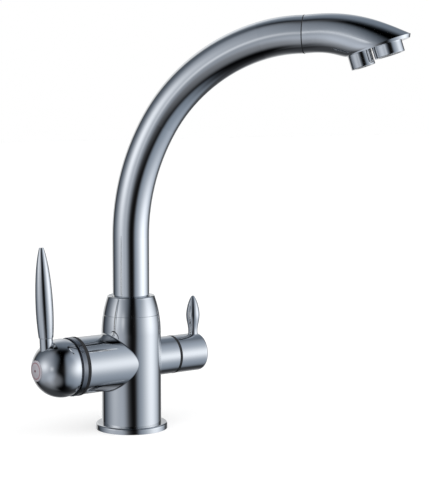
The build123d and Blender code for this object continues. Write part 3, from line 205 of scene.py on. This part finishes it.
def card_light(g, towards, name):
    """Light of one card in a direction that is given from the photographer's azimuth."""
    (azimuth, elevation), (across, up), (square, sharp), light, tint = CARDS[name]
    local = g.add("ShaderNodeVectorRotate", {"rotation_type": "EULER_XYZ", "invert": True},
                  Vector=towards, Rotation=(0, -math.radians(elevation), math.radians(azimuth)))
    parts = g.add("ShaderNodeSeparateXYZ", Vector=local.outputs[0]).outputs
    side = g.math("DIVIDE", g.math("ARCTAN2", parts["Y"], parts["X"]), math.radians(across))
    rise = g.math("DIVIDE", g.math("ARCSINE", parts["Z"]), math.radians(up))
    rounded = g.math("ADD", g.math("POWER", g.math("ABSOLUTE", side), square),
                     g.math("POWER", g.math("ABSOLUTE", rise), square))
    fall = g.math("POWER", rounded, sharp / square)
    faded = g.math("EXPONENT", g.math("MULTIPLY", fall, -1.0))
    card = g.add("ShaderNodeVectorMath", {"operation": "SCALE", "label": name}, Scale=faded)
    card.inputs[0].default_value = [light * channel for channel in tint]
    return card.outputs[0]


def build_world():
    """Reflections show the cards, matt surfaces get an even room, the camera sees white."""
    world = bpy.data.worlds.new("studio")
    world.use_nodes = True
    scene.world = world
    g = Graph(world.node_tree)
    generated = g.add("ShaderNodeTexCoord").outputs["Generated"]
    towards = g.add("ShaderNodeVectorRotate", {"rotation_type": "Z_AXIS"}, Vector=generated,
                    Angle=math.radians(-PHOTOGRAPHER)).outputs[0]
    total = None
    for name in CARDS:
        card = card_light(g, towards, name)
        total = card if total is None else g.vector("ADD", total, card)
    ray = g.add("ShaderNodeLightPath").outputs
    white = g.add("ShaderNodeBackground", Color=WHITE, Strength=1.0)
    room = g.add("ShaderNodeBackground", Color=WHITE, Strength=ROOM_LIGHT)
    cards = g.add("ShaderNodeBackground", Color=total, Strength=1.0)
    lit = g.blend(ray["Is Glossy Ray"], room, cards)
    shown = g.blend(g.math("MAXIMUM", ray["Is Camera Ray"], ray["Is Transmission Ray"]),
                    lit, white)
    g.add("ShaderNodeOutputWorld", Surface=shown.outputs[0])


def build_floor():
    """Plain pale floor. It carries the shadow; polished metal sees the studio's cards instead."""
    mesh = bpy.data.meshes.new("floor")
    corners = [(-FLOOR_HALF, -FLOOR_HALF, 0), (FLOOR_HALF, -FLOOR_HALF, 0),
               (FLOOR_HALF, FLOOR_HALF, 0), (-FLOOR_HALF, FLOOR_HALF, 0)]
    mesh.from_pydata(corners, [], [(0, 1, 2, 3)])
    floor = bpy.data.objects.new("floor", mesh)
    floor.location.z = -FLOOR_DROP
    scene.collection.objects.link(floor)
    material, g = new_material("floor_white")
    ray = g.add("ShaderNodeLightPath").outputs
    paper = g.add("ShaderNodeBsdfDiffuse", Color=FLOOR_PAPER, Roughness=1.0)
    glow = g.add("ShaderNodeEmission", Color=WHITE, Strength=FLOOR_GLOW)
    bright = g.add("ShaderNodeAddShader")
    g.feed(bright.inputs[0], paper.outputs[0])
    g.feed(bright.inputs[1], glow.outputs[0])
    seen = g.blend(ray["Is Camera Ray"], paper, bright)
    clear = g.add("ShaderNodeBsdfTransparent")
    finish_material(g, g.blend(ray["Is Glossy Ray"], seen, clear))
    mesh.materials.append(material)


def build_lamps():
    """Soft lamps for the floor's shadow; the cards above are what metal reflects."""
    for name, (place, power) in LAMPS.items():
        light = bpy.data.lights.new(name, "AREA")
        light.shape = "DISK"
        light.size = LAMP_SIZE
        light.energy = power
        lamp = bpy.data.objects.new(name, light)
        lamp.location = place
        lamp.rotation_euler = (Vector(LAMP_AIM) - Vector(place)).to_track_quat(
            "-Z", "Y").to_euler()
        lamp.visible_glossy = False
        scene.collection.objects.link(lamp)


def new_material(name):
    material = bpy.data.materials.new(name)
    material.use_nodes = True
    return material, Graph(material.node_tree)


def finish_material(g, surface):
    g.add("ShaderNodeOutputMaterial", Surface=surface.outputs[0])


build_world()
build_floor()
build_lamps()

# ---------------------------------------------------------------- materials
# Noise scales are in cycles per metre or so, and bump depths in metres.
NOISE_RANGE = (0.3, 0.7)     # where a noise has most of its values

# chrome
CHROME_COLOUR = (0.82, 0.82, 0.82)
# painted light: the same chrome written brighter for the tube, head and aerator, so that their
# reflections show brighter than the body's
PAINTED_BRIGHT_CHROME = (0.93, 0.93, 0.93)
# painted shade: the trim ring's chrome colour is written dark so that it shows mid-grey; its
# satin look comes from roughness alone
PAINTED_DARK_CHROME = (0.32, 0.33, 0.35)
POLISHED = (0.012, 0.03)     # roughness, from the clearest to the haziest places
SATIN = (0.10, 0.16)
HAZE_SCALE = 60.0
SCRATCH_SCALE = 900.0
SCRATCH_STRETCH = (0.08, 1.0, 1.0)
SCRATCH_RANGE = (0.62, 0.75)
SCRATCH_ROUGHNESS = 0.02
PIT_SCALE = 2600.0
PIT_DEPTH = 0.0000012
WORN_EDGE = (0.52, 0.62)     # pointiness from which an edge is worn, and where it is fully so
WORN_ROUGHNESS = 0.05
CHROME_LOOKS = {
    # colour, scale and depth of the casting waves under the plate, roughness
    "chrome_casting": (CHROME_COLOUR, 26.0, 0.00003, POLISHED),
    "chrome_turned": (CHROME_COLOUR, 18.0, 0.00001, POLISHED),
    # painted light: tube, head and aerator use the brighter chrome, which stands in for more
    # light on them
    "chrome_tube_painted_bright": (PAINTED_BRIGHT_CHROME, 12.0, 0.00003, POLISHED),
    "chrome_head_painted_bright": (PAINTED_BRIGHT_CHROME, 26.0, 0.00003, POLISHED),
    # painted shade on the trim ring: dark chrome colour, with a real satin roughness
    "chrome_satin_painted_dark": (PAINTED_DARK_CHROME, 18.0, 0.00001, SATIN),
}
CHROME_OF = {
    "body_casting": "chrome_casting", "outlet_head": "chrome_head_painted_bright",
    "spout_tube": "chrome_tube_painted_bright", "aerator_housing": "chrome_head_painted_bright",
    "trim_ring": "chrome_satin_painted_dark",
}

# turned metal
LINE_SCALE = 3000.0
LINE_STRETCH = (1.0, 0.02, 0.02)
LINE_DEPTH = 0.00001
LINE_ROUGHNESS = (0.22, 0.38)
STAIN_SCALE = 120.0
STAIN_RANGE = (0.35, 0.75)

# moulded plastic and rubber
FLOW_SCALE = 90.0
FLOW_SHADE = 0.86            # the darkest flow clouds, as a share of the colour

# index disc
DISC_COLOUR = (0.50, 0.48, 0.52)
DISC_CLOUD_COLOUR = (0.45, 0.43, 0.48)
DISC_ROUGHNESS = (0.18, 0.28)
DISC_CLOUD_SCALE = 300.0
DISC_GRAIN_SCALE = 2200.0
DISC_GRAIN_DEPTH = 0.000006
COAT = 0.4
COAT_ROUGHNESS = 0.05
RING_COLOUR = (0.30, 0.10, 0.11)
RING_INK = 0.8
RING_INNER = (0.0055, 0.0057)
RING_OUTER = (0.0062, 0.0064)
DOT_COLOUR = (0.13, 0.02, 0.025)
DOT_EDGE = (0.0008, 0.0011)
INK_EDGE_SCALE = 4000.0
INK_EDGE = 0.00003           # the ink's edge wanders by this much


def chrome(name, colour, wave_scale, wave_depth, haze):
    """Polished chrome plate: faint casting waves under it, polishing haze and fine scratches."""
    material, g = new_material(name)
    place = g.place()
    cloudy = g.noise(place, HAZE_SCALE, detail=4.0)
    scratches = g.noise(place, SCRATCH_SCALE, detail=2.0, stretch=SCRATCH_STRETCH)
    pits = g.noise(place, PIT_SCALE, detail=2.0)
    pointed = g.add("ShaderNodeNewGeometry").outputs["Pointiness"]
    rough = g.spread(cloudy, *NOISE_RANGE, *haze)
    rough = g.math("ADD", rough, g.spread(scratches, *SCRATCH_RANGE, 0.0, SCRATCH_ROUGHNESS))
    rough = g.math("ADD", rough, g.spread(pointed, *WORN_EDGE, 0.0, WORN_ROUGHNESS))
    waves = g.bump(g.noise(place, wave_scale, detail=1.0), wave_depth)
    skin = g.bump(pits, PIT_DEPTH, normal=waves)
    finish_material(g, g.add("ShaderNodeBsdfPrincipled", Base_Color=(*colour, 1), Metallic=1.0,
                             Roughness=rough, Normal=skin))
    return material


def turned_metal(name, colour, dark):
    """Brass or steel with fine turning lines round the arms' axis."""
    material, g = new_material(name)
    place = g.place()
    lines = g.noise(place, LINE_SCALE, stretch=LINE_STRETCH)
    stains = g.noise(place, STAIN_SCALE, detail=4.0)
    base = g.colour(g.spread(stains, *STAIN_RANGE, 0, 1), colour, dark)
    finish_material(g, g.add("ShaderNodeBsdfPrincipled", Base_Color=base, Metallic=1.0,
                             Roughness=g.spread(lines, *NOISE_RANGE, *LINE_ROUGHNESS),
                             Normal=g.bump(lines, LINE_DEPTH, strength=0.5)))
    return material


def moulded(name, colour, grain=1500.0, rough=(0.38, 0.55), depth=0.00002):
    """Moulded plastic or rubber: a fine eroded skin with faint flow clouds."""
    material, g = new_material(name)
    place = g.place()
    skin = g.noise(place, grain)
    clouds = g.noise(place, FLOW_SCALE)
    base = g.colour(clouds, colour, tuple(channel * FLOW_SHADE for channel in colour))
    finish_material(g, g.add("ShaderNodeBsdfPrincipled", Base_Color=base,
                             Roughness=g.spread(skin, *NOISE_RANGE, *rough),
                             Normal=g.bump(skin, depth, strength=0.4)))
    return material


def index_disc(name):
    """Pale glossy disc with a thin ring and a dot, drawn round the ball's own axis."""
    material, g = new_material(name)
    place = g.place()
    parts = g.add("ShaderNodeSeparateXYZ", Vector=place).outputs
    rise = g.math("SUBTRACT", parts["Z"], ARM_HEIGHT)
    radius = g.math("SQRT", g.math("ADD", g.math("POWER", parts["Y"], 2.0),
                                   g.math("POWER", rise, 2.0)))
    wander = g.spread(g.noise(place, INK_EDGE_SCALE), *NOISE_RANGE, -INK_EDGE, INK_EDGE)
    print_edge = g.math("ADD", radius, wander)
    ring = g.math("MULTIPLY", g.spread(print_edge, *RING_INNER, 0.0, 1.0, smooth=True),
                  g.spread(print_edge, *RING_OUTER, 1.0, 0.0, smooth=True))
    dot = g.spread(print_edge, *DOT_EDGE, 1.0, 0.0, smooth=True)
    clouds = g.noise(place, DISC_CLOUD_SCALE)
    base = g.colour(clouds, DISC_COLOUR, DISC_CLOUD_COLOUR)
    inked = g.colour(g.math("MULTIPLY", ring, RING_INK), base, RING_COLOUR)
    dotted = g.colour(dot, inked, DOT_COLOUR)
    grain = g.bump(g.noise(place, DISC_GRAIN_SCALE), DISC_GRAIN_DEPTH, strength=0.5)
    finish_material(g, g.add("ShaderNodeBsdfPrincipled", Base_Color=dotted,
                             Roughness=g.spread(clouds, *NOISE_RANGE, *DISC_ROUGHNESS),
                             Normal=grain, Coat_Weight=COAT, Coat_Roughness=COAT_ROUGHNESS))
    return material


CHROMES = {name: chrome(name, *look) for name, look in CHROME_LOOKS.items()}
FINISHES = {
    "index_disc": index_disc("index_disc_print"),
    # black rubber for rubber parts; the arms' black bands also use it, as painted shade
    "rubber": moulded("black_rubber_and_painted_shade", (0.025, 0.025, 0.027), grain=2500.0, rough=(0.6, 0.8)),
    "brass": turned_metal("turned_brass", (0.72, 0.56, 0.28), dark=(0.55, 0.40, 0.18)),
    "steel": turned_metal("turned_steel", (0.62, 0.62, 0.64), dark=(0.45, 0.45, 0.47)),
    "cartridge_plastic": moulded("cartridge_plastic", (0.80, 0.80, 0.76)),
    "glide_plastic": moulded("glide_plastic", (0.90, 0.90, 0.88), grain=2500.0,
                             rough=(0.3, 0.42)),
    "ceramic": moulded("lapped_ceramic", (0.88, 0.87, 0.82), grain=6000.0,
                       rough=(0.12, 0.2), depth=0.000004),
    "hose_plastic": moulded("hose_plastic", (0.82, 0.85, 0.88), grain=900.0,
                            rough=(0.3, 0.45)),
    "insert_plastic": moulded("insert_plastic", (0.62, 0.63, 0.65)),
}
for subpart in frame["record"]["subparts"]:
    node, slot = subpart["node"], subpart["material_slot"]
    if slot == "chrome":
        material = CHROMES[CHROME_OF.get(node, "chrome_turned")]
    else:
        material = FINISHES[slot]
    for holder in frame["nodes"][node].material_slots:
        holder.material = material


# ---------------------------------------------------------------- black bands: painted shade at the arms' joints, the head's gasket
def lathe(name, profile, height, turn):
    """Closed ring about a level axis that crosses the Z axis at this height.

    The axis points to this turn from +X; the profile is a loop of (place on the axis, radius).
    """
    mesh = bpy.data.meshes.new(name)
    bm = bmesh.new()
    rings = []
    for step in range(BAND_STEPS):
        angle = 2 * math.pi * step / BAND_STEPS
        ring = []
        for along, radius in profile:
            across = radius * math.cos(angle)
            ring.append(bm.verts.new((along * math.cos(turn) - across * math.sin(turn),
                                      along * math.sin(turn) + across * math.cos(turn),
                                      height + radius * math.sin(angle))))
        rings.append(ring)
    for ring, following in zip(rings, rings[1:] + rings[:1]):
        for place in range(len(profile)):
            after = (place + 1) % len(profile)
            face = bm.faces.new((ring[place], ring[after], following[after], following[place]))
            face.smooth = True
    bmesh.ops.recalc_face_normals(bm, faces=bm.faces)
    bm.to_mesh(mesh)
    bm.free()
    ring_object = bpy.data.objects.new(name, mesh)
    scene.collection.objects.link(ring_object)
    return ring_object


def band_profile(joint, before, after, radius, sunk_before, sunk_after):
    """Loop of a black band laid over a joint of two round parts, with a rounded face outside.

    It reaches before and after the joint and sinks a little into the part on each side.
    """
    face = []
    for step in range(BAND_ARC_STEPS + 1):
        angle = math.pi * step / BAND_ARC_STEPS
        face.append((joint - before + (before + after) * (1 - math.cos(angle)) / 2,
                     radius + BAND_PROUD * math.sin(angle)))
    return face + [(joint + after, radius - sunk_after), (joint, radius - sunk_after),
                   (joint, radius - sunk_before), (joint - before, radius - sunk_before)]


def add_black_band(name, body, profile, height, turn=0.0):
    gasket = lathe(name, profile, height, turn)
    # painted shade at the arms' joints: the black rubber stands in for the shade in their
    # grooves; at the head it is the gasket's own colour
    gasket.data.materials.append(FINISHES["rubber"])
    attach(gasket, body)


def arm_shade_bands():
    """Black bands of painted shade in the joints at the trim ring and at the filter knob,
    standing in for the shade in their grooves.
    """
    mixer_end, valve_end = (corner[0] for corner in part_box("body_casting"))
    trim_low, trim_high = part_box("trim_ring")
    trim_radius = (trim_high[2] - trim_low[2]) / 2
    # painted shade: black band in the groove between trim ring and mixer arm
    add_black_band("arm_shade_band", "tap_body", band_profile(
        mixer_end, SHADE_BAND_LAP, ARM_SHADE_BAND_REACH, trim_radius,
        BAND_SUNK, TRIM_RING_PROUD + BAND_SUNK), ARM_HEIGHT)
    knob_low, knob_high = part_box("filter_knob")
    knob_radius = (knob_high[1] - knob_low[1]) / 2
    # painted shade: black band in the gap at the filter knob
    add_black_band("valve_shade_band", "tap_body", band_profile(
        valve_end, SHADE_BAND_LAP, knob_low[0] - valve_end - KNOB_PLAY, knob_radius,
        BAND_SUNK, VALVE_SHADE_BAND_DEPTH), ARM_HEIGHT)


def head_gasket():
    """Thin black gasket in the round joint of tube and head, where the tube ends level."""
    turn = math.radians(SPOUT_TURN)
    low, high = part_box("spout_tube")
    reach = (low[1] + TUBE_R * math.cos(turn)) / math.sin(turn)
    half = HEAD_GASKET_W / 2
    add_black_band("head_gasket", "spout",
               band_profile(reach, half, half, TUBE_R, BAND_SUNK, BAND_SUNK),
               high[2] - TUBE_R, turn)


arm_shade_bands()
head_gasket()
